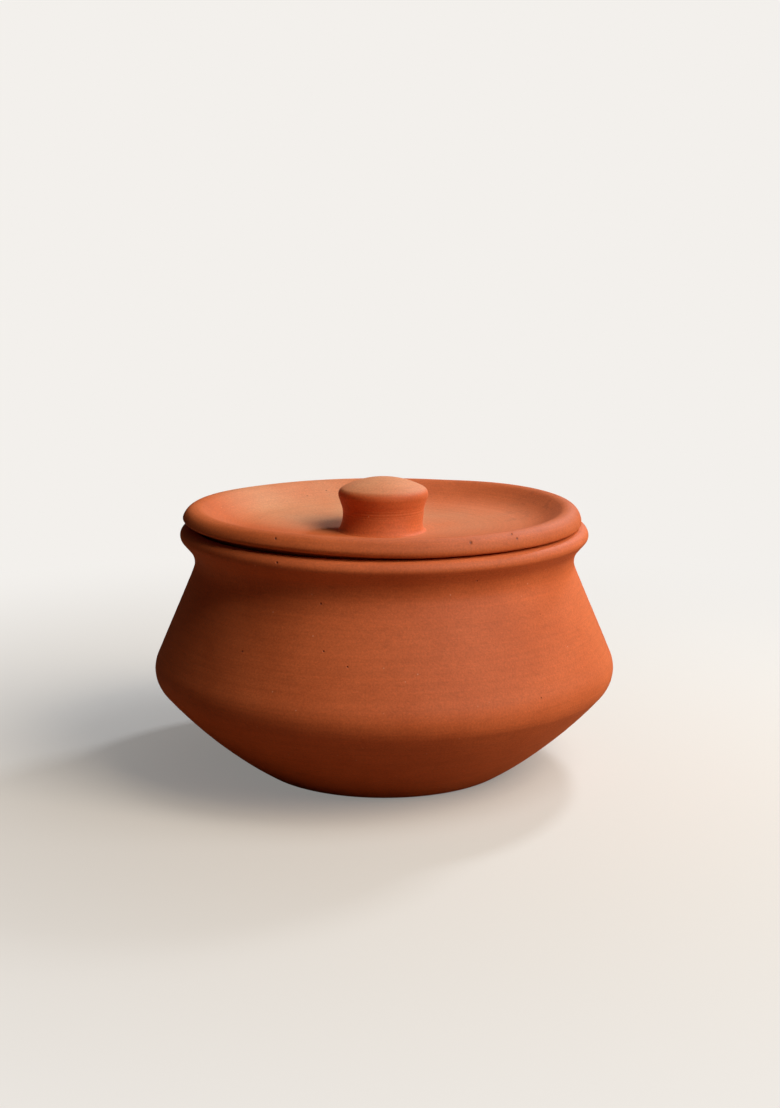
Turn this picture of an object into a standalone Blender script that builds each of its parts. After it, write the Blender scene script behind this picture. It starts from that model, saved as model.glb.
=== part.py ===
"""Clay curd pot: a thrown terracotta pot with a dished lid and a knob luted onto it.

Every piece is turned round the Z axis. Lengths are in metres and +Z is up. The origin is the
middle of the standing face, on the surface that the pot stands on.
"""
import math

import bpy

# Pot, outside
BELLY_RADIUS = 0.0850        # widest circle, at the keel
KEEL_HEIGHT = 0.0380         # middle of the keel above the standing face
KEEL_ROUND = 0.0105          # how softly the shoulder turns into the bowl
BOWL_ROUND = 0.1550          # slow curve of the bowl between keel and foot
FOOT_RADIUS = 0.0454         # flat standing face
FOOT_ROUND = 0.0031
RIM_HEIGHT = 0.0902          # crown of the lip, where the lid rests
LIP_RADIUS = 0.0747
LIP_ROUND = 0.0029           # rolled edge of the lip
LIP_SWELL = 0.0010           # how much thicker the lip is than the wall
LIP_EDGE = 0.0006            # plain stretch between the roll and the cove
LIP_OVERHANG = 0.0050        # lip outside the bottom of the cove
COVE_ROUND = 0.0080

# Pot, inside
WALL = 0.0060
FLOOR = 0.0070
KEEL_INNER_ROUND = 0.0045
FLOOR_ROUND = 0.0140

# Lid
SEAT_GAP = 0.0003            # lid above the lip's crown
LID_INSET = 0.0019           # lid's rim inside the lip's outer edge
RIM_RISE = 0.0064            # crest of the lid's rim above the lip's crown
RIM_ROUND = 0.0018           # tight roll round the rim's outer edge
FLANK_ROUND = 0.0052         # broad top of the rim, from the roll over the crest into the dish
DISH_DEPTH = 0.0091          # floor of the dish below the crest of its rim
DISH_RISE = 0.0025           # how much the floor climbs from the knob to its bend
DISH_ROUND = 0.0240          # bend from the floor up into the flank
DISH_MARGIN = 0.0155         # where the floor starts to bend, inside the pot's throat
LID_WALL = 0.0050
NEST_ROUND = 0.0160          # bend of the underside, which nests in the mouth
NEST_MARGIN = 0.0068         # where the underside starts to bend, inside the pot's throat

# Knob
KNOB_RADIUS = 0.0165         # brim of the head
KNOB_HEIGHT = 0.0197         # crown of the head above its bed on the lid
KNOB_DOME = 0.0320           # curve of the head's top
BRIM_ROUND = 0.0028
WAIST_RADIUS = 0.0149
WAIST_HEIGHT = 0.0062        # narrowest place above the bed
WAIST_ROUND = 0.0120
SLIP_FILLET = 0.0020         # slip smoothed round the foot with a finger
SLIP_EDGE = 0.0002           # thickness of the slip where it runs out
SLIP_GAP = 0.0003            # line of slip between knob and lid

# Facets
TURN_STEPS = 72
KNOB_STEPS = 56
FACET_SAG = 0.00009          # an arc's chord leaves the true curve by no more than this
WIDEST_STEP = math.radians(26)
SAME_POINT = 0.00001

# Fired clay, straight from the kiln: sRGB colour and roughness
BODY_CLAY = ((0.769, 0.400, 0.247), 0.88)
LID_CLAY = ((0.784, 0.427, 0.275), 0.86)
KNOB_CLAY = ((0.776, 0.416, 0.267), 0.87)


def outline(rounds):
    """Return the (r, z) points of a line drawn tight along circles, with the clay on its right.

    Each circle is (r, z, radius). A positive radius rounds an outer edge, a negative one hollows
    an inner corner, and zero is a plain point. The line starts facing up and ends facing down,
    and it passes by a circle that it would bend round the wrong way.
    """
    facing = [math.radians(90)]
    for (r, z, radius), (next_r, next_z, next_radius) in zip(rounds[:-1], rounds[1:]):
        reach = math.hypot(next_r - r, next_z - z)
        lean = max(-1.0, min(1.0, (radius - next_radius) / reach))
        facing.append(math.atan2(next_z - z, next_r - r) + math.acos(lean))
    facing.append(math.radians(-90))

    turns = []
    for (r, z, radius), start, end in zip(rounds, facing[:-1], facing[1:]):
        way = -1 if radius > 0 else 1
        turns.append(way * ((way * (end - start) + math.pi / 2) % math.tau - math.pi / 2))
    slack = [index for index, turn in enumerate(turns) if turn * rounds[index][2] > 0]
    if slack:
        return outline(rounds[:slack[0]] + rounds[slack[0] + 1:])

    points = []
    for (r, z, radius), start, turn in zip(rounds, facing, turns):
        if radius == 0:
            points.append((r, z))
            continue
        step = min(WIDEST_STEP, 2 * math.acos(1 - FACET_SAG / abs(radius)))
        count = max(1, math.ceil(abs(turn) / step))
        for index in range(count + 1):
            angle = start + turn * index / count
            points.append((r + radius * math.cos(angle), z + radius * math.sin(angle)))

    # Where two arcs touch, they share one point
    apart = [after for before, after in zip(points, points[1:]) if math.dist(before, after) > SAME_POINT]
    return points[:1] + apart


def circle_round(upper, lower, radius):
    """Return the centre of the large circle that holds two rounds and touches both."""
    upper_r, upper_z, upper_round = upper
    lower_r, lower_z, lower_round = lower
    upper_reach = radius - upper_round
    lower_reach = radius - lower_round
    gap_r = lower_r - upper_r
    gap_z = lower_z - upper_z
    gap = math.hypot(gap_r, gap_z)
    along = (upper_reach ** 2 - lower_reach ** 2 + gap ** 2) / (2 * gap)
    aside = math.sqrt(upper_reach ** 2 - along ** 2)
    return (
        upper_r + (gap_r * along + gap_z * aside) / gap,
        upper_z + (gap_z * along - gap_r * aside) / gap,
    )


def neck_radius():
    """Return the radius of the neck at the bottom of the cove."""
    return LIP_RADIUS - LIP_OVERHANG


def lip_rounds():
    """Return the centres of the lip's inner and outer roll, and their common radius."""
    width = WALL + LIP_SWELL
    roll = min(LIP_ROUND, width / 2.1)
    inner_r = LIP_RADIUS - width + roll
    outer_r = LIP_RADIUS - roll
    return inner_r, outer_r, roll


def pot_section():
    """Return the pot's section, from the middle of its inside floor round to its foot."""
    inner_lip_r, outer_lip_r, roll = lip_rounds()
    lip_z = RIM_HEIGHT - roll

    # The cove hangs under the lip, and the inside of the neck shares its centre
    cove_r = neck_radius() + COVE_ROUND
    cove_z = lip_z - math.sqrt((roll + COVE_ROUND + LIP_EDGE) ** 2 - (cove_r - outer_lip_r) ** 2)

    keel = (BELLY_RADIUS - KEEL_ROUND, KEEL_HEIGHT, KEEL_ROUND)
    foot = (FOOT_RADIUS, FOOT_ROUND, FOOT_ROUND)
    bowl_r, bowl_z = circle_round(keel, foot, BOWL_ROUND)

    # The inside follows the outside at one wall, apart from its own floor
    inner_bowl = BOWL_ROUND - WALL
    floor_z = FLOOR + FLOOR_ROUND
    floor_r = bowl_r + math.sqrt((inner_bowl - FLOOR_ROUND) ** 2 - (bowl_z - floor_z) ** 2)
    inner_floor = (floor_r, floor_z, FLOOR_ROUND)
    inner_keel = (BELLY_RADIUS - WALL - KEEL_INNER_ROUND, KEEL_HEIGHT, KEEL_INNER_ROUND)
    inner_bowl_r, inner_bowl_z = circle_round(inner_keel, inner_floor, inner_bowl)

    return outline([
        (0, FLOOR, 0),
        (floor_r, floor_z, -FLOOR_ROUND),
        (inner_bowl_r, inner_bowl_z, -inner_bowl),
        (inner_keel[0], inner_keel[1], -KEEL_INNER_ROUND),
        (cove_r, cove_z, COVE_ROUND + WALL),
        (inner_lip_r, lip_z, roll),
        (outer_lip_r, lip_z, roll),
        (cove_r, cove_z, -COVE_ROUND),
        keel,
        (bowl_r, bowl_z, BOWL_ROUND),
        foot,
        (0, 0, 0),
    ])


def dish_floor():
    """Return the height of the dish's floor above the crown of the pot's lip."""
    return RIM_RISE - DISH_DEPTH


def knob_foot_radius():
    """Return the radius at which the slip round the knob's foot runs level with the lid."""
    drop = WAIST_HEIGHT - SLIP_GAP - SLIP_EDGE - SLIP_FILLET
    return WAIST_RADIUS + WAIST_ROUND - math.sqrt((WAIST_ROUND - SLIP_FILLET) ** 2 - drop ** 2)


def lid_section():
    """Return the lid's section above the lip's crown, from the bed of the knob to its underside."""
    inner_lip_r, _, roll = lip_rounds()
    rim_r = LIP_RADIUS - LID_INSET - RIM_ROUND
    rim_z = SEAT_GAP + RIM_ROUND
    floor_z = dish_floor()
    bed_r = knob_foot_radius() + SLIP_FILLET

    # The rim's broad top holds the roll at its edge, so that the one runs into the other
    flank_z = RIM_RISE - FLANK_ROUND
    flank_r = rim_r - math.sqrt((FLANK_ROUND - RIM_ROUND) ** 2 - (rim_z - flank_z) ** 2)

    # The floor bends up inside the throat, and no wider than the rim's flank lets it
    bend_z = floor_z + DISH_RISE + DISH_ROUND
    widest_bend_r = flank_r - math.sqrt((DISH_ROUND + FLANK_ROUND) ** 2 - (bend_z - flank_z) ** 2)
    throat = neck_radius() - WALL
    bend_r = min(throat - DISH_MARGIN, widest_bend_r)

    # A hollow under the rim clears the lip, and the underside bends up into it
    hollow = roll + SEAT_GAP
    under_z = floor_z - LID_WALL
    nest_z = under_z + DISH_RISE + NEST_ROUND
    widest_nest_r = inner_lip_r - math.sqrt((NEST_ROUND + hollow) ** 2 - (nest_z + roll) ** 2)
    nest_r = min(throat - NEST_MARGIN, widest_nest_r)

    return outline([
        (0, floor_z, 0),
        (bed_r, floor_z, 0),
        (bend_r, bend_z, -DISH_ROUND),
        (flank_r, flank_z, FLANK_ROUND),
        (rim_r, rim_z, RIM_ROUND),
        (inner_lip_r, -roll, -hollow),
        (nest_r, nest_z, NEST_ROUND),
        (bed_r, under_z, 0),
        (0, under_z, 0),
    ])


def knob_section():
    """Return the knob's section above its bed on the lid, from its crown to its foot."""
    brim_z = KNOB_HEIGHT - KNOB_DOME + math.sqrt(
        (KNOB_DOME - BRIM_ROUND) ** 2 - (KNOB_RADIUS - BRIM_ROUND) ** 2
    )
    foot_r = knob_foot_radius()
    edge_z = SLIP_GAP + SLIP_EDGE
    return outline([
        (0, KNOB_HEIGHT - KNOB_DOME, KNOB_DOME),
        (KNOB_RADIUS - BRIM_ROUND, brim_z, BRIM_ROUND),
        (WAIST_RADIUS + WAIST_ROUND, WAIST_HEIGHT, -WAIST_ROUND),
        (foot_r, edge_z + SLIP_FILLET, -SLIP_FILLET),
        (foot_r + SLIP_EDGE, edge_z, 0),
        (foot_r + SLIP_EDGE, SLIP_GAP, 0),
        (0, SLIP_GAP, 0),
    ])


def linear(channel):
    """Turn one sRGB channel into the linear value that a shader takes."""
    if channel <= 0.04045:
        return channel / 12.92
    return ((channel + 0.055) / 1.055) ** 2.4


def fired_clay(name, finish):
    """Return a matte earthenware material with the given colour and roughness."""
    colour, roughness = finish
    material = bpy.data.materials.new(name)
    material.use_nodes = True
    shader = material.node_tree.nodes["Principled BSDF"]
    shader.inputs["Base Color"].default_value = (*(linear(channel) for channel in colour), 1.0)
    shader.inputs["Roughness"].default_value = roughness
    shader.inputs["Metallic"].default_value = 0.0
    return material


def turned_piece(name, section, steps, material, collection):
    """Add an object whose section is turned round its own Z axis."""
    mesh = bpy.data.meshes.new(name)
    vertices = [(r, 0.0, z) for r, z in section]
    edges = [(index, index + 1) for index in range(len(section) - 1)]
    mesh.from_pydata(vertices, edges, [])
    mesh.materials.append(material)
    piece = bpy.data.objects.new(name, mesh)
    collection.objects.link(piece)

    turning = piece.modifiers.new("turning", "SCREW")
    turning.axis = "Z"
    turning.angle = math.tau
    turning.steps = steps
    turning.render_steps = steps
    turning.use_merge_vertices = True
    turning.merge_threshold = SAME_POINT
    turning.use_smooth_shade = True
    return piece


def build():
    """Build the pot, the lid that rests on it, and the knob on the lid."""
    for item in list(bpy.data.objects):
        bpy.data.objects.remove(item, do_unlink=True)

    collection = bpy.data.collections.new("clay_curd_pot")
    bpy.context.scene.collection.children.link(collection)

    body_clay = fired_clay("pot_clay", BODY_CLAY)
    lid_clay = fired_clay("lid_clay", LID_CLAY)
    knob_clay = fired_clay("knob_clay", KNOB_CLAY)

    turned_piece("pot", pot_section(), TURN_STEPS, body_clay, collection)

    # The lid lifts straight up, so its origin is on the pot's axis at the lip's crown
    lid = turned_piece("lid", lid_section(), TURN_STEPS, lid_clay, collection)
    lid.location = (0.0, 0.0, RIM_HEIGHT)

    knob = turned_piece("lid_knob", knob_section(), KNOB_STEPS, knob_clay, collection)
    knob.parent = lid
    knob.location = (0.0, 0.0, dish_floor())


build()
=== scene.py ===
"""Looks of a clay curd pot: a thrown earthenware pot, its dished lid and the knob luted onto it.

Lengths are in metres and +Z is up. Every piece is thrown round the Z axis, in the place that the
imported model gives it.
"""
import math

import bpy
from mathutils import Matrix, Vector


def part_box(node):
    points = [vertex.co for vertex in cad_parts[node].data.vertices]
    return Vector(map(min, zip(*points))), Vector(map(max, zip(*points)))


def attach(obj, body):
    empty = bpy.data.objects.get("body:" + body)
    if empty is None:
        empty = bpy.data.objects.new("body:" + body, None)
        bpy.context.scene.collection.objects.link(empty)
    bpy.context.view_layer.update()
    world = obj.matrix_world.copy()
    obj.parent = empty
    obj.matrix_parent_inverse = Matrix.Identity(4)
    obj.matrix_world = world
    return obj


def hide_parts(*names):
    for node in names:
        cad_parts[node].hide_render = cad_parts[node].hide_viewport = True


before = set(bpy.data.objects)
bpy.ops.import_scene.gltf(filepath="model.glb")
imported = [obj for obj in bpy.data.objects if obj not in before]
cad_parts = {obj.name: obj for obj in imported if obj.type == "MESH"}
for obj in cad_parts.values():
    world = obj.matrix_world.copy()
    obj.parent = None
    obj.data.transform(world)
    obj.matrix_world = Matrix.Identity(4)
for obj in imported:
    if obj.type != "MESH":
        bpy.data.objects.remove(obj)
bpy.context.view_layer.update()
_, pot_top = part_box("pot")
_, lid_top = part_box("lid")
_, knob_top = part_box("lid_knob")

# Pot, outside
BELLY_RADIUS = pot_top.x
RIM_HEIGHT = pot_top.z
KEEL_HEIGHT = 0.0380
KEEL_ROUND = 0.0105
BOWL_ROUND = 0.1550
FOOT_RADIUS = 0.0454
FOOT_ROUND = 0.0031
FOOT_HOLLOW = 0.0004         # the foot's middle dries a little hollow
FOOT_RING = 0.0060           # width of the flat ring that it stands on
LIP_RADIUS = 0.0747
LIP_ROUND = 0.0029
LIP_WIDTH = 0.0070
LIP_EDGE = 0.0006
NECK_RADIUS = 0.0697
COVE_ROUND = 0.0080

# Pot, inside
WALL = 0.0060
FLOOR = 0.0070
KEEL_INNER_ROUND = 0.0045
FLOOR_ROUND = 0.0140

# Lid
SEAT_GAP = 0.0003
RIM_ROUND = 0.0018
FLANK_ROUND = 0.0052
DISH_DEPTH = 0.0091
DISH_RISE = 0.0025
DISH_ROUND = 0.0240
DISH_BEND_RADIUS = 0.0482
LID_WALL = 0.0050
NEST_ROUND = 0.0160
NEST_RADIUS = 0.0569

# Knob
KNOB_RADIUS = 0.0165
KNOB_DOME = 0.0320
BRIM_ROUND = 0.0028
WAIST_RADIUS = 0.0149
WAIST_HEIGHT = 0.0062
WAIST_ROUND = 0.0120
SLIP_FILLET = 0.0020
SLIP_SINK = 0.00005          # the slip's round runs into the floor at a faint crease
SLIP_ROOT = 0.0006           # how far the knob's foot reaches into the lid

# Rings that the fingers leave while the clay turns
INSIDE_MARK = 0.00022
INSIDE_SPACING = 0.0062
INSIDE_END = (0.070, 0.082)          # heights between which they run out
OUTSIDE_MARK = 0.00004
OUTSIDE_SPACING = 0.0042
OUTSIDE_START = (0.004, 0.012)       # heights
OUTSIDE_END = (0.076, 0.084)
LID_MARK = 0.00002
LID_SPACING = 0.0048
LID_MARK_END = (0.056, 0.064)        # radii
UNEVEN_TURN = 1.4                    # radians that a ring strays from an even spacing
UNEVEN_RINGS = 3.7                   # rings after which it strays the same way again
GROOVE_DEPTH = 0.00012
GROOVE_SPACING = 0.00088
GROOVE_BAND = 0.0026
GROOVE_DROP = 0.0116                 # the grooves' middle below the knob's crown

# Fired clay of each piece, paler and deeper
POT_PALE = "#D06D3C"
POT_DEEP = "#C66434"
LID_PALE = "#CA6936"
LID_DEEP = "#C0602E"
KNOB_PALE = "#D26C38"
KNOB_DEEP = "#C86230"
CLAY_ROUGHNESS = 0.70
CLAY_IOR = 1.45
CLAY_DIFFUSE_ROUGHNESS = 0.6

# Patterns in the clay, as real sizes. A range gives the part of a noise that the pattern spans.
PATTERN_RANGE = (0.25, 0.75)
LINE_SPACING = 0.0008        # about 0.5 mm on the pot, drawn coarser so that it shows
LINE_REACH = 0.0600
LINE_HEIGHT = 0.03           # millimetres
LINE_SHADES = (0.94, 1.06)
GRAIN_SIZE = 0.0007          # sand of 0.2 to 0.5 mm, drawn a little coarser so that it shows
GRAIN_HEIGHT = 0.06          # millimetres
GRAIN_SHADES = (0.84, 1.16)
CLOUD_SIZE = 0.0280
CLOUD_RANGE = (0.32, 0.68)
PIN_SPACING = 0.0130
PIN_SIZE = 0.00040
PIN_DEPTH = 0.35             # millimetres
# painted shade inside the pinholes
PIN_PAINTED_SHADE = "#5A2414"
PIN_SQUEEZE = (1.0, 0.3, 1.0)        # a pinhole is long towards the front, so that it meets the skin
# Each pinhole has its place and its size
POT_PINHOLES = (
    (-0.0353, -0.0657, 0.0882, 0.0005),
    (-0.0208, -0.0671, 0.0746, 0.0005),
    (-0.0198, -0.0738, 0.0601, 0.0004),
    (-0.0476, -0.0615, 0.0569, 0.0004),
    (-0.0119, -0.0774, 0.0557, 0.0004),
)
LID_PINHOLES = (
    (-0.0359, -0.0622, 0.0957, 0.0005),
    (0.0287, -0.0653, 0.0949, 0.0007),
    (0.0429, -0.0550, 0.0959, 0.0004),
    (0.0447, -0.0558, 0.0945, 0.0005),
)
MOTTLE_SIZE = 0.0055
MOTTLE_FLATTEN = (1.0, 1.0, 3.0)     # a mottle is drawn out along the turning
MOTTLE_RANGE = (0.52, 0.74)
MOTTLE_SHADE = "#93431F"
MOTTLE_SHARE = 0.16
LID_PAINTED_SHADE_SPOT = (0.056, 0.014, 0.091)   # painted shade: the clay's mottles are deepened on the dish's right wall, which faces away from the light
PAINTED_SHADE_GAIN = 3.5
PAINTED_SHADE_CORE = 0.006
PAINTED_SHADE_REACH = 0.020
SHEEN_AND_DUST_SHADE = "#DDAC84"               # painted sheen with some pale clay dust, in the dish and on the knob's crown
SHEEN_AND_DUST_FADE = 0.0015
# Each patch of painted sheen and dust has a floor that it lies above, a middle, a core, a reach and a
# share
LID_SHEEN_AND_DUST = (
    (0.0850, (-0.024, 0.034, 0.098), 0.024, 0.049, 0.96),
    (0.0850, (0.026, 0.012, 0.088), 0.010, 0.042, 0.50),
)
KNOB_SHEEN_AND_DUST = (
    (0.1020, (0.0, 0.0, 0.107), 0.010, 0.030, 0.92),
)
GRIT_SPACING = 0.0060
GRIT_SIZE = 0.00035
GRIT_SHADE = "#E2A583"
GRIT_OFFSET = (0.3, 0.1, 0.2)        # keeps the grit's cells apart from the pinholes'

# The pot and lid dried a little out of true. A side is given as its turn to the right of the
# front, and a pair gives the radii, the heights or the reach between which a change sets in.
RIM_SHIFT = 0.0008                   # the lid's rim sits to the left
RIM_RADII = (0.056, 0.068)
RIM_HEIGHTS = (0.0895, 0.0925)
LEFT_SIDE = -64
LEFT_LIFT = 0.0008                   # the rim curls up there
CURL_RADII = (0.050, 0.068)
CURL_REACH = (0.015, 0.068)
EDGE_WEAR = 0.0006                   # and its lower edge was wiped away
EDGE_RADII = (0.068, 0.0705)
EDGE_HEIGHTS = (0.0915, 0.0950)
REAR_SIDE = 115
REAR_LIFT = 0.0010                   # the rim is thicker there
CREST_RADII = (0.054, 0.068)
CREST_HEIGHTS = (0.0905, 0.0965)
THICK_REACH = (0.045, 0.072)
REAR_TILT = 0.0002                   # the whole rim stands this much higher at the back
TILT_REACH = (-0.020, 0.060)
LIP_SIDE = 30
LIP_SINK = 0.0007                    # the pot's lip sinks there
SINK_RADII = (0.0690, 0.0712)
SINK_HEIGHTS = (0.0850, 0.0890)
SINK_REACH = (0.020, 0.062)
KNOB_SHIFT = 0.0004                  # the knob was set by eye
FOOT_PULL = 0.0013                   # the slip at its foot was wiped tighter on the right
PULL_HEIGHTS = (0.0875, 0.0945)
PULL_REACH = (0.003, 0.015)
WOBBLE_DEPTH = 0.00035               # how far the hand left the surface short of a true turning
WOBBLE_SIZE = 0.0400
WALL_START = (0.004, 0.014)
WALL_END = (0.070, 0.084)

# Studio
# Each lamp has a name, turn, rise, distance, size, level and tint
LAMPS = (
    ("key_light", 72, 50, 0.70, 0.42, 0.47, (0.98, 1.0, 1.03)),
    ("rear_light", 138, 42, 0.55, 0.08, 0.46, (0.92, 1.0, 1.10)),
    ("wide_fill", 55, 38, 2.0, 1.2, 0.85, (1.0, 0.85, 0.66)),
)
WORLD_LEVEL = 0.03
WORLD_TINT = (1.0, 0.80, 0.66, 1.0)
LIGHT_AIM = 0.06
BOUNCE_SHADE = "#94725A"     # what the floor throws back at the pot
NEAR_GLOW = 0.25             # the floor's own paleness at the pot's foot, which keeps its shadow soft
FADE_START = 0.05            # where the floor starts to run into the backdrop
FADE_END = 0.42

# How finely the clay is drawn
POT_STEPS = 288
LID_STEPS = 288
KNOB_STEPS = 224
LINE_STEP = 0.0011
KNOB_LINE_STEP = 0.00022
FINE_ANGLE = math.radians(6.5)
SAME_POINT = 0.000001
CREASE = math.radians(50)

# Camera, at the photograph's own angle
CAMERA_PLACE = (0.00207, -0.6164, 0.1975)
CAMERA_PITCH = math.radians(79.07)
CAMERA_LENS = 55.235
CAMERA_SENSOR = 36.0
CAMERA_NEAR = 0.01

# Backdrop
FLOOR_SIZE = 6.0
FLOOR_SHADE = "#DCD8D2"
BACKDROP_SHADE = "#F3F0EC"


def outline(rounds, line_step):
    """Return the (r, z) points of a line drawn tight along circles, with the clay on its right.

    Each circle is (r, z, radius). A positive radius rounds an outer edge, a negative one hollows
    an inner corner, and zero is a plain point. The line starts facing up and ends facing down.
    """
    facing = [math.radians(90)]
    for (r, z, radius), (next_r, next_z, next_radius) in zip(rounds[:-1], rounds[1:]):
        reach = math.hypot(next_r - r, next_z - z)
        lean = max(-1.0, min(1.0, (radius - next_radius) / reach))
        facing.append(math.atan2(next_z - z, next_r - r) + math.acos(lean))
    facing.append(math.radians(-90))

    points = []
    for (r, z, radius), start, end in zip(rounds, facing[:-1], facing[1:]):
        if radius == 0:
            points.append((r, z))
            continue
        way = -1 if radius > 0 else 1
        turn = way * ((way * (end - start) + math.pi / 2) % math.tau - math.pi / 2)
        step = min(FINE_ANGLE, line_step / abs(radius))
        count = max(1, math.ceil(abs(turn) / step))
        for index in range(count + 1):
            angle = start + turn * index / count
            points.append((r + radius * math.cos(angle), z + radius * math.sin(angle)))

    # Straight stretches get points too, so that throwing marks can run over them
    evened = points[:1]
    for after in points[1:]:
        before = evened[-1]
        gap = math.dist(before, after)
        if gap < SAME_POINT:
            continue
        pieces = max(1, math.ceil(gap / line_step))
        for index in range(1, pieces + 1):
            share = index / pieces
            evened.append(tuple(a + (b - a) * share for a, b in zip(before, after)))
    return evened


def circle_round(upper, lower, radius):
    """Return the centre of the large circle that holds two rounds and touches both."""
    upper_r, upper_z, upper_round = upper
    lower_r, lower_z, lower_round = lower
    upper_reach = radius - upper_round
    lower_reach = radius - lower_round
    gap_r = lower_r - upper_r
    gap_z = lower_z - upper_z
    gap = math.hypot(gap_r, gap_z)
    along = (upper_reach ** 2 - lower_reach ** 2 + gap ** 2) / (2 * gap)
    aside = math.sqrt(upper_reach ** 2 - along ** 2)
    return (
        upper_r + (gap_r * along + gap_z * aside) / gap,
        upper_z + (gap_z * along - gap_r * aside) / gap,
    )


def marked(line, depth_at, spacing):
    """Press shallow throwing rings into a line, where depth_at(r, z) says how deep they are."""
    run = 0.0
    result = [line[0]]
    for before, here, after in zip(line, line[1:], line[2:]):
        run += math.dist(before, here)
        slope_r = after[0] - before[0]
        slope_z = after[1] - before[1]
        length = math.hypot(slope_r, slope_z)
        uneven = UNEVEN_TURN * math.sin(math.tau * run / (spacing * UNEVEN_RINGS))
        wave = 0.5 - 0.5 * math.cos(math.tau * run / spacing + uneven)
        push = depth_at(*here) * wave
        result.append((here[0] + slope_z / length * push, here[1] - slope_r / length * push))
    return result + [line[-1]]


def ramp(value, low, high):
    """Return how far value has come from low to high, eased at both ends."""
    share = max(0.0, min(1.0, (value - low) / (high - low)))
    return share * share * (3 - 2 * share)


def pot_line():
    """Return the pot's section, from the middle of its inside floor round to its foot."""
    inner_lip_r = LIP_RADIUS - LIP_WIDTH + LIP_ROUND
    outer_lip_r = LIP_RADIUS - LIP_ROUND
    lip_z = RIM_HEIGHT - LIP_ROUND
    cove_r = NECK_RADIUS + COVE_ROUND
    reach = LIP_ROUND + COVE_ROUND + LIP_EDGE
    cove_z = lip_z - math.sqrt(reach ** 2 - (cove_r - outer_lip_r) ** 2)

    keel = (BELLY_RADIUS - KEEL_ROUND, KEEL_HEIGHT, KEEL_ROUND)
    foot = (FOOT_RADIUS, FOOT_ROUND, FOOT_ROUND)
    bowl_r, bowl_z = circle_round(keel, foot, BOWL_ROUND)
    inner_bowl = BOWL_ROUND - WALL
    floor_z = FLOOR + FLOOR_ROUND
    floor_r = bowl_r + math.sqrt((inner_bowl - FLOOR_ROUND) ** 2 - (bowl_z - floor_z) ** 2)
    inner_keel = (BELLY_RADIUS - WALL - KEEL_INNER_ROUND, KEEL_HEIGHT, KEEL_INNER_ROUND)
    inner_bowl_r, inner_bowl_z = circle_round(inner_keel, (floor_r, floor_z, FLOOR_ROUND), inner_bowl)

    line = outline([
        (0, FLOOR, 0),
        (floor_r, floor_z, -FLOOR_ROUND),
        (inner_bowl_r, inner_bowl_z, -inner_bowl),
        (inner_keel[0], inner_keel[1], -KEEL_INNER_ROUND),
        (cove_r, cove_z, COVE_ROUND + WALL),
        (inner_lip_r, lip_z, LIP_ROUND),
        (outer_lip_r, lip_z, LIP_ROUND),
        (cove_r, cove_z, -COVE_ROUND),
        keel,
        (bowl_r, bowl_z, BOWL_ROUND),
        foot,
        (FOOT_RADIUS - FOOT_RING, 0, 0),
        (0, FOOT_HOLLOW, 0),
    ], LINE_STEP)

    crown = max(range(len(line)), key=lambda index: line[index][1])
    inside = marked(line[:crown], inside_depth, INSIDE_SPACING)
    outside = marked(line[crown:], outside_depth, OUTSIDE_SPACING)
    return inside + outside


def inside_depth(r, z):
    """Return the depth of the rings on the pot's inside: none in its throat and lip."""
    return INSIDE_MARK * (1 - ramp(z, *INSIDE_END))


def outside_depth(r, z):
    """Return the depth of the rings on the pot's outside: none on its foot and lip."""
    return OUTSIDE_MARK * ramp(z, *OUTSIDE_START) * (1 - ramp(z, *OUTSIDE_END))


def lid_line():
    """Return the lid's section, from the bed of the knob over the rim to its underside."""
    inner_lip_r = LIP_RADIUS - LIP_WIDTH + LIP_ROUND
    lip_z = RIM_HEIGHT - LIP_ROUND
    rim_r = lid_top.x - RIM_ROUND
    rim_z = RIM_HEIGHT + SEAT_GAP + RIM_ROUND
    flank_z = lid_top.z - FLANK_ROUND
    flank_r = rim_r - math.sqrt((FLANK_ROUND - RIM_ROUND) ** 2 - (rim_z - flank_z) ** 2)
    floor_z = lid_top.z - DISH_DEPTH
    under_z = floor_z - LID_WALL
    line = outline([
        (0, floor_z, 0),
        (WAIST_RADIUS, floor_z, 0),
        (DISH_BEND_RADIUS, floor_z + DISH_RISE + DISH_ROUND, -DISH_ROUND),
        (flank_r, flank_z, FLANK_ROUND),
        (rim_r, rim_z, RIM_ROUND),
        (inner_lip_r, lip_z, -(LIP_ROUND + SEAT_GAP)),
        (NEST_RADIUS, under_z + DISH_RISE + NEST_ROUND, NEST_ROUND),
        (WAIST_RADIUS, under_z, 0),
        (0, under_z, 0),
    ], LINE_STEP)
    return marked(line, lid_depth, LID_SPACING)


def lid_depth(r, z):
    """Return the depth of the rings on the lid: none on its rim."""
    return LID_MARK * (1 - ramp(r, *LID_MARK_END))


def knob_line():
    """Return the knob's section, from its crown over the waist to its foot in the lid."""
    floor_z = lid_top.z - DISH_DEPTH
    dome_z = knob_top.z - KNOB_DOME
    brim_z = dome_z + math.sqrt((KNOB_DOME - BRIM_ROUND) ** 2 - (KNOB_RADIUS - BRIM_ROUND) ** 2)
    drop = WAIST_HEIGHT - SLIP_FILLET + SLIP_SINK
    foot_r = WAIST_RADIUS + WAIST_ROUND - math.sqrt((WAIST_ROUND - SLIP_FILLET) ** 2 - drop ** 2)
    line = outline([
        (0, dome_z, KNOB_DOME),
        (KNOB_RADIUS - BRIM_ROUND, brim_z, BRIM_ROUND),
        (WAIST_RADIUS + WAIST_ROUND, floor_z + WAIST_HEIGHT, -WAIST_ROUND),
        (foot_r, floor_z + SLIP_FILLET - SLIP_SINK, -SLIP_FILLET),
        (foot_r, floor_z - SLIP_ROOT, 0),
        (0, floor_z - SLIP_ROOT, 0),
    ], KNOB_LINE_STEP)
    return marked(line, knob_depth, GROOVE_SPACING)


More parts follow.
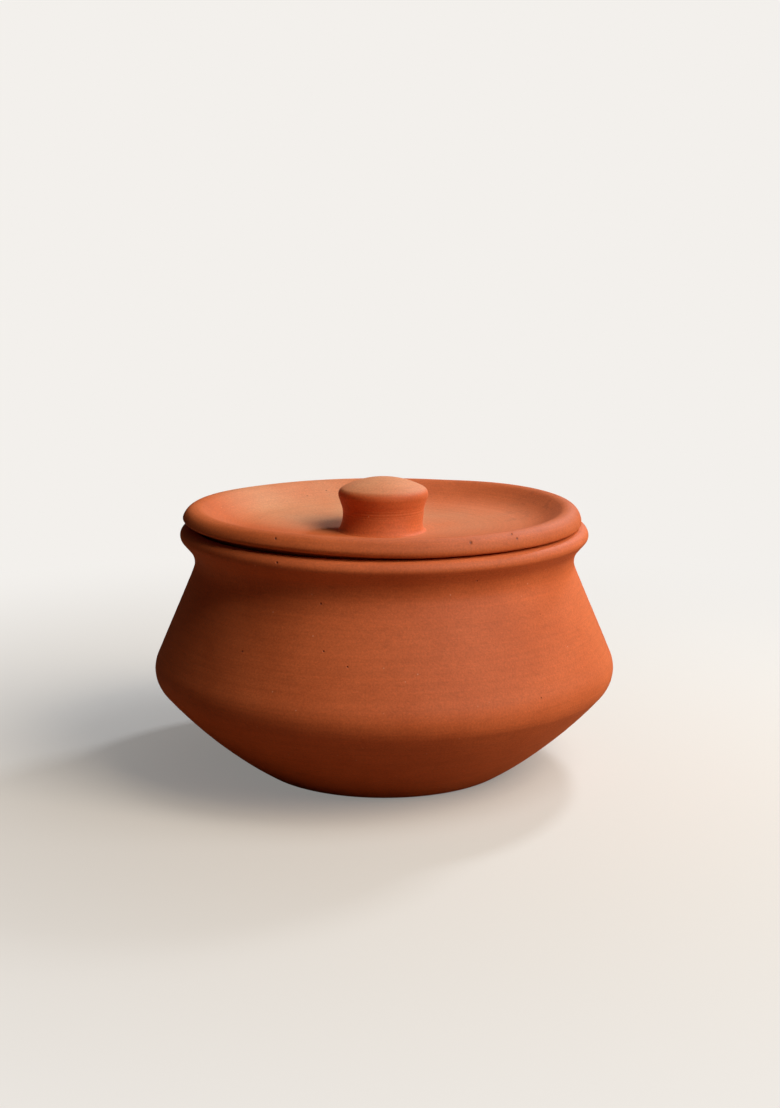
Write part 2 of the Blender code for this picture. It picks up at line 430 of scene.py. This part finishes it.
def knob_depth(r, z):
    """Return the depth of the finger's grooves, which run round the knob's waist."""
    middle = knob_top.z - GROOVE_DROP
    return GROOVE_DEPTH * (1 - ramp(abs(z - middle), GROOVE_BAND / 2, GROOVE_BAND))


def thrown(name, line, steps):
    """Draw a section point by point and spin it round the Z axis into one closed skin."""
    bpy.ops.object.select_all(action="DESELECT")
    bpy.ops.mesh.primitive_plane_add(size=0.001)
    piece = bpy.context.object
    piece.name = name
    piece.data.name = name
    bpy.ops.object.mode_set(mode="EDIT")
    bpy.ops.mesh.select_all(action="SELECT")
    bpy.ops.mesh.merge(type="CENTER")
    bpy.ops.transform.translate(value=(line[0][0], 0, line[0][1]))
    for (r, z), (next_r, next_z) in zip(line, line[1:]):
        step = (next_r - r, 0, next_z - z)
        bpy.ops.mesh.extrude_region_move(TRANSFORM_OT_translate={"value": step})
    bpy.ops.mesh.select_all(action="SELECT")
    bpy.ops.mesh.spin(steps=steps, angle=math.tau, center=(0, 0, 0), axis=(0, 0, 1))
    bpy.ops.mesh.select_all(action="SELECT")
    bpy.ops.mesh.remove_doubles(threshold=SAME_POINT)
    bpy.ops.mesh.normals_make_consistent(inside=False)
    bpy.ops.object.mode_set(mode="OBJECT")
    bpy.ops.object.shade_smooth_by_angle(angle=CREASE)
    return piece


def linear(shade):
    """Turn an sRGB hex colour into the linear colour that a shader takes."""
    channels = [int(shade[place:place + 2], 16) / 255 for place in (1, 3, 5)]
    return [c / 12.92 if c <= 0.04045 else ((c + 0.055) / 1.055) ** 2.4 for c in channels] + [1.0]


def add(tree, kind, feeds=None, **settings):
    """Add a node with its settings, and fill or link the sockets named in feeds."""
    node = tree.nodes.new("ShaderNode" + kind)
    for name, value in settings.items():
        setattr(node, name, value)
    for socket, source in (feeds or {}).items():
        if isinstance(source, bpy.types.NodeSocket):
            tree.links.new(source, node.inputs[socket])
        else:
            node.inputs[socket].default_value = source
    return node


def thrown_earthenware(name, pale, deep, pinholes=(), sheen_and_dust=(), painted_shade_spot=None):
    """Unglazed red earthenware: low-fired, iron-rich clay, thrown wet and never glazed.

    Its open, sandy skin scatters light evenly, so it has no gloss and only a broad soft glow at
    a glance. The wheel leaves fine turning lines, and burnt-out grit leaves a few pinholes.
    """
    material = bpy.data.materials.new(name)
    material.use_nodes = True
    tree = material.node_tree
    shader = tree.nodes["Principled BSDF"]
    place = add(tree, "TexCoord").outputs["Object"]
    split = add(tree, "SeparateXYZ", {0: place})
    flat = add(tree, "VectorMath", {0: place, 1: (1, 1, 0)}, operation="MULTIPLY")
    radius = add(tree, "VectorMath", {0: flat.outputs[0]}, operation="LENGTH").outputs["Value"]

    # Turning lines follow the radius and the height, and fade along the way round
    across = 1 / LINE_SPACING
    along = 1 / LINE_REACH
    ring = add(tree, "CombineXYZ", {"X": radius, "Y": split.outputs["Z"]})
    ring = add(tree, "VectorMath", {0: ring.outputs[0], "Scale": across}, operation="SCALE")
    fade_x = add(tree, "Math", {0: split.outputs["X"], 1: along}, operation="MULTIPLY")
    fade_y = add(tree, "Math", {0: split.outputs["Y"], 1: along}, operation="MULTIPLY")
    fade = add(tree, "CombineXYZ", {"Z": fade_x.outputs[0]})
    ring = add(tree, "VectorMath", {0: ring.outputs[0], 1: fade.outputs[0]}, operation="ADD")
    ring_at = {"Vector": ring.outputs[0], "W": fade_y.outputs[0]}
    lines = add(
        tree, "TexNoise",
        {**ring_at, "Scale": 1.0, "Detail": 2.0, "Roughness": 0.6},
        noise_dimensions="4D",
    ).outputs[0]

    # Sandy grain of the fired skin
    grain = add(
        tree, "TexNoise",
        {"Vector": place, "Scale": 1 / GRAIN_SIZE, "Detail": 3.0, "Roughness": 0.65},
    ).outputs[0]

    # Clouds of slightly paler and redder clay from the firing
    cloud = add(
        tree, "TexNoise",
        {"Vector": place, "Scale": 1 / CLOUD_SIZE, "Detail": 4.0, "Roughness": 0.55, "Distortion": 0.3},
    ).outputs[0]

    # Scattered pinholes lie where a cell's point meets the skin, and the listed ones at their places
    cells = add(
        tree, "TexVoronoi",
        {"Vector": place, "Scale": 1 / PIN_SPACING, "Randomness": 1.0},
        feature="F1",
    )
    hole = add(
        tree, "MapRange",
        {"Value": cells.outputs["Distance"], "From Min": PIN_SIZE / PIN_SPACING, "From Max": 0.0},
    ).outputs[0]
    for x, y, z, size in pinholes:
        offset = add(tree, "VectorMath", {0: place, 1: (x, y, z)}, operation="SUBTRACT")
        squeezed = add(tree, "VectorMath", {0: offset.outputs[0], 1: PIN_SQUEEZE}, operation="MULTIPLY")
        away = add(tree, "VectorMath", {0: squeezed.outputs[0]}, operation="LENGTH").outputs["Value"]
        pit = add(tree, "MapRange", {"Value": away, "From Min": size, "From Max": 0.0}).outputs[0]
        hole = add(tree, "Math", {0: hole, 1: pit}, operation="MAXIMUM").outputs[0]

    # Pale grit shows in the skin here and there
    stones = add(tree, "VectorMath", {0: place, 1: GRIT_OFFSET}, operation="ADD")
    grits = add(
        tree, "TexVoronoi",
        {"Vector": stones.outputs[0], "Scale": 1 / GRIT_SPACING, "Randomness": 1.0},
        feature="F1",
    )
    grit = add(
        tree, "MapRange",
        {"Value": grits.outputs["Distance"], "From Min": GRIT_SIZE / GRIT_SPACING, "From Max": 0.0},
    ).outputs[0]

    # Height in millimetres
    height = add(tree, "Math", {0: lines, 1: LINE_HEIGHT}, operation="MULTIPLY").outputs[0]
    for pattern, rise in ((grain, GRAIN_HEIGHT), (hole, -PIN_DEPTH)):
        height = add(
            tree, "Math", {0: pattern, 1: rise, 2: height}, operation="MULTIPLY_ADD",
        ).outputs[0]
    bump = add(tree, "Bump", {"Height": height, "Distance": 0.001, "Strength": 1.0})
    tree.links.new(bump.outputs[0], shader.inputs["Normal"])

    # Colour: clouds, mottles with their painted shade, painted sheen and dust, then lines and grain,
    # then the painted shade of pinholes and the grit
    cloud_share = add(
        tree, "MapRange",
        {"Value": cloud, "From Min": CLOUD_RANGE[0], "From Max": CLOUD_RANGE[1]},
        interpolation_type="SMOOTHSTEP",
    )
    colour = add(
        tree, "Mix",
        {"Factor": cloud_share.outputs[0], "A": linear(pale), "B": linear(deep)},
        data_type="RGBA",
    ).outputs["Result"]
    flattened = add(tree, "VectorMath", {0: place, 1: MOTTLE_FLATTEN}, operation="MULTIPLY")
    mottle = add(
        tree, "TexNoise",
        {"Vector": flattened.outputs[0], "Scale": 1 / MOTTLE_SIZE, "Detail": 3.0, "Roughness": 0.6},
    ).outputs[0]
    span = {"From Min": MOTTLE_RANGE[0], "From Max": MOTTLE_RANGE[1], "To Max": MOTTLE_SHARE}
    mottle_share = add(tree, "MapRange", {"Value": mottle, **span}).outputs[0]
    # Painted shade: the mottles grow stronger round one spot on the dish's right wall, which faces away
    # from the light
    if painted_shade_spot:
        away = add(tree, "VectorMath", {0: place, 1: painted_shade_spot}, operation="DISTANCE").outputs["Value"]
        span = {"From Min": PAINTED_SHADE_REACH, "From Max": PAINTED_SHADE_CORE, "To Min": 1.0, "To Max": PAINTED_SHADE_GAIN}
        painted_shade_gain = add(tree, "MapRange", {"Value": away, **span}).outputs[0]
        mottle_share = add(tree, "Math", {0: mottle_share, 1: painted_shade_gain}, operation="MULTIPLY").outputs[0]
    colour = add(
        tree, "Mix",
        {"Factor": mottle_share, "A": colour, "B": linear(MOTTLE_SHADE)},
        data_type="RGBA",
    ).outputs["Result"]
    # Painted sheen with some dust: the clay turns paler where the lamps glance brightly off the dish
    # and the knob's crown
    for low, middle, core, reach, share in sheen_and_dust:
        above = add(
            tree, "MapRange",
            {"Value": split.outputs["Z"], "From Min": low, "From Max": low + SHEEN_AND_DUST_FADE},
        ).outputs[0]
        away = add(tree, "VectorMath", {0: place, 1: middle}, operation="DISTANCE").outputs["Value"]
        within = add(
            tree, "MapRange", {"Value": away, "From Min": reach, "From Max": core},
            interpolation_type="SMOOTHSTEP",
        ).outputs[0]
        sheen_and_dust_spot = add(tree, "Math", {0: above, 1: within}, operation="MULTIPLY").outputs[0]
        sheen_and_dust_patches = add(tree, "Math", {0: cloud, 1: share}, operation="MULTIPLY").outputs[0]
        sheen_and_dust_share = add(tree, "Math", {0: sheen_and_dust_spot, 1: sheen_and_dust_patches}, operation="MULTIPLY").outputs[0]
        colour = add(
            tree, "Mix",
            {"Factor": sheen_and_dust_share, "A": colour, "B": linear(SHEEN_AND_DUST_SHADE)},
            data_type="RGBA",
        ).outputs["Result"]
    for pattern, (dark, bright) in ((lines, LINE_SHADES), (grain, GRAIN_SHADES)):
        span = {"From Min": PATTERN_RANGE[0], "From Max": PATTERN_RANGE[1]}
        shade = add(
            tree, "MapRange", {"Value": pattern, **span, "To Min": dark, "To Max": bright},
        ).outputs[0]
        colour = add(tree, "VectorMath", {0: colour, "Scale": shade}, operation="SCALE").outputs[0]
    # Pinholes get painted shade, and grit its own pale colour
    for share, shade in ((hole, PIN_PAINTED_SHADE), (grit, GRIT_SHADE)):
        colour = add(
            tree, "Mix", {"Factor": share, "A": colour, "B": linear(shade)}, data_type="RGBA",
        ).outputs["Result"]
    tree.links.new(colour, shader.inputs["Base Color"])

    shader.inputs["Roughness"].default_value = CLAY_ROUGHNESS
    shader.inputs["IOR"].default_value = CLAY_IOR
    shader.inputs["Diffuse Roughness"].default_value = CLAY_DIFFUSE_ROUGHNESS
    return material


def pushed(piece, direction, distance, weight_at, texture=None):
    """Push a piece's clay along a direction, as far as weight_at(place) says, and apply it."""
    group = piece.vertex_groups.new(name="push")
    for vertex in piece.data.vertices:
        weight = weight_at(vertex.co)
        if weight > 0:
            group.add([vertex.index], weight, "REPLACE")
    push = piece.modifiers.new("push", "DISPLACE")
    push.direction = direction
    push.strength = distance
    push.vertex_group = group.name
    push.mid_level = 0.0
    if texture:
        push.texture = texture
        push.texture_coords = "LOCAL"
        push.mid_level = 1.0
    bpy.ops.object.select_all(action="DESELECT")
    piece.select_set(True)
    bpy.context.view_layer.objects.active = piece
    bpy.ops.object.modifier_apply(modifier=push.name)
    piece.vertex_groups.clear()


def radius_of(place):
    """Return how far a place lies from the axis."""
    return math.hypot(place.x, place.y)


def towards(side, place):
    """Return how far a place lies towards one side."""
    turn = math.radians(side)
    return place.x * math.sin(turn) - place.y * math.cos(turn)


def hand_wobble():
    """Return the slow unevenness of a hand-thrown surface."""
    texture = bpy.data.textures.new("hand_wobble", "CLOUDS")
    texture.noise_scale = WOBBLE_SIZE
    texture.noise_depth = 1
    return texture


def finished(piece, node, body, material):
    """Give a piece its clay, and let it stand for its node on the node's body."""
    piece.data.materials.clear()
    piece.data.materials.append(material)
    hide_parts(node)
    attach(piece, body)


def backdrop():
    """Lay the pale floor and light the pale background."""
    bpy.ops.object.select_all(action="DESELECT")
    bpy.ops.mesh.primitive_plane_add(size=FLOOR_SIZE)
    floor = bpy.context.object
    floor.name = "studio_floor"
    paper = bpy.data.materials.new("matt_paper")
    paper.use_nodes = True
    tree = paper.node_tree
    tree.nodes.clear()
    place = add(tree, "TexCoord").outputs["Object"]
    reach = add(tree, "VectorMath", {0: place}, operation="LENGTH").outputs["Value"]
    far = add(
        tree, "MapRange",
        {"Value": reach, "From Min": FADE_START, "From Max": FADE_END, "To Min": NEAR_GLOW},
        interpolation_type="SMOOTHSTEP",
    )
    lit = add(tree, "BsdfDiffuse", {"Color": linear(FLOOR_SHADE)})
    glow = add(tree, "Emission", {"Color": linear(BACKDROP_SHADE), "Strength": 1.0})
    seen = add(tree, "MixShader", {0: far.outputs[0], 1: lit.outputs[0], 2: glow.outputs[0]})
    bounce = add(tree, "BsdfDiffuse", {"Color": linear(BOUNCE_SHADE)})
    ray = add(tree, "LightPath").outputs["Is Camera Ray"]
    paper_mix = add(tree, "MixShader", {0: ray, 1: bounce.outputs[0], 2: seen.outputs[0]})
    add(tree, "OutputMaterial", {"Surface": paper_mix.outputs[0]})
    floor.data.materials.append(paper)

    world = bpy.data.worlds.new("studio")
    bpy.context.scene.world = world
    world.use_nodes = True
    tree = world.node_tree
    tree.nodes.clear()
    ray = add(tree, "LightPath").outputs["Is Camera Ray"]
    fill = add(tree, "Background", {"Color": WORLD_TINT, "Strength": WORLD_LEVEL})
    seen = add(tree, "Background", {"Color": linear(BACKDROP_SHADE), "Strength": 1.0})
    mix = add(tree, "MixShader", {0: ray, 1: fill.outputs[0], 2: seen.outputs[0]})
    add(tree, "OutputWorld", {"Surface": mix.outputs[0]})


def softbox(name, turn, rise, distance, size, level, tint):
    """Hang a square studio light and turn it to the pot.

    Turn is its angle to the right of the camera, rise its angle above the table, and level how
    bright white paper that faces it would be.
    """
    aside = math.cos(math.radians(rise)) * distance
    place = (
        aside * math.sin(math.radians(turn)),
        -aside * math.cos(math.radians(turn)),
        LIGHT_AIM + distance * math.sin(math.radians(rise)),
    )
    light = bpy.data.lights.new(name, "AREA")
    light.shape = "SQUARE"
    light.size = size
    light.energy = level * (math.pi * distance) ** 2
    light.color = tint
    lamp = bpy.data.objects.new(name, light)
    bpy.context.scene.collection.objects.link(lamp)
    lamp.location = place
    aim = Vector((0, 0, LIGHT_AIM)) - Vector(place)
    lamp.rotation_euler = aim.to_track_quat("-Z", "Y").to_euler()


def camera():
    """Set the camera where the photograph was taken from."""
    data = bpy.data.cameras.new("camera")
    data.lens = CAMERA_LENS
    data.sensor_width = CAMERA_SENSOR
    data.clip_start = CAMERA_NEAR
    view = bpy.data.objects.new("camera", data)
    bpy.context.scene.collection.objects.link(view)
    view.location = CAMERA_PLACE
    view.rotation_euler = (CAMERA_PITCH, 0, 0)
    bpy.context.scene.camera = view


def wall_share(at):
    """Return how far a place of the pot lies on its walls, away from the foot and the lip."""
    return ramp(at.z, *WALL_START) * (1 - ramp(at.z, *WALL_END))


def lip_share(at):
    """Return how far a place of the pot lies on the part of its lip that sinks."""
    crown = ramp(radius_of(at), *SINK_RADII) * ramp(at.z, *SINK_HEIGHTS)
    return crown * ramp(towards(LIP_SIDE, at), *SINK_REACH)


def rim_share(at):
    """Return how far a place of the lid lies on the rim that sits to the left."""
    return ramp(radius_of(at), *RIM_RADII) * ramp(at.z, *RIM_HEIGHTS)


def curl_share(at):
    """Return how far a place of the lid lies on the curl at its left front."""
    return ramp(radius_of(at), *CURL_RADII) * ramp(towards(LEFT_SIDE, at), *CURL_REACH)


def edge_share(at):
    """Return how far a place of the lid lies on the wiped lower edge below the curl."""
    lower = 1 - ramp(at.z, *EDGE_HEIGHTS)
    return curl_share(at) * ramp(radius_of(at), *EDGE_RADII) * lower


def thick_share(at):
    """Return how far a place of the lid lies on the thicker rim at its right rear."""
    crest = ramp(radius_of(at), *CREST_RADII) * ramp(at.z, *CREST_HEIGHTS)
    return crest * ramp(towards(REAR_SIDE, at), *THICK_REACH)


def rear_share(at):
    """Return how far a place of the lid lies on the rim's rear, which stands a little higher."""
    return ramp(radius_of(at), *CREST_RADII) * ramp(at.y, *TILT_REACH)


def foot_share(at):
    """Return how far a place of the knob lies on the slip at its foot's right side."""
    return (1 - ramp(at.z, *PULL_HEIGHTS)) * ramp(at.x, *PULL_REACH)


def make_pot():
    """Throw the pot, and leave its foot true so that it stands."""
    pot = thrown("thrown_pot", pot_line(), POT_STEPS)
    pushed(pot, "NORMAL", WOBBLE_DEPTH, wall_share, hand_wobble())
    pushed(pot, "Z", -LIP_SINK, lip_share)
    clay = thrown_earthenware("pot_earthenware", POT_PALE, POT_DEEP, POT_PINHOLES)
    finished(pot, "pot", "pot", clay)


def make_lid():
    """Throw the lid, with its rim dried a little out of true."""
    lid = thrown("dished_lid", lid_line(), LID_STEPS)
    pushed(lid, "X", -RIM_SHIFT, rim_share)
    pushed(lid, "Z", LEFT_LIFT, curl_share)
    pushed(lid, "Z", EDGE_WEAR, edge_share)
    pushed(lid, "Z", REAR_LIFT, thick_share)
    pushed(lid, "Z", REAR_TILT, rear_share)
    clay = thrown_earthenware("lid_earthenware", LID_PALE, LID_DEEP, LID_PINHOLES, LID_SHEEN_AND_DUST, LID_PAINTED_SHADE_SPOT)
    finished(lid, "lid", "lid", clay)


def make_knob():
    """Throw the knob, and set it on the lid a little off centre."""
    knob = thrown("mushroom_knob", knob_line(), KNOB_STEPS)
    pushed(knob, "X", -KNOB_SHIFT, lambda at: 1.0)
    pushed(knob, "X", -FOOT_PULL, foot_share)
    clay = thrown_earthenware("knob_earthenware", KNOB_PALE, KNOB_DEEP, sheen_and_dust=KNOB_SHEEN_AND_DUST)
    finished(knob, "lid_knob", "lid", clay)


camera()
backdrop()
for lamp_values in LAMPS:
    softbox(*lamp_values)
bpy.context.scene.view_settings.view_transform = "Standard"

make_pot()
make_lid()
make_knob()
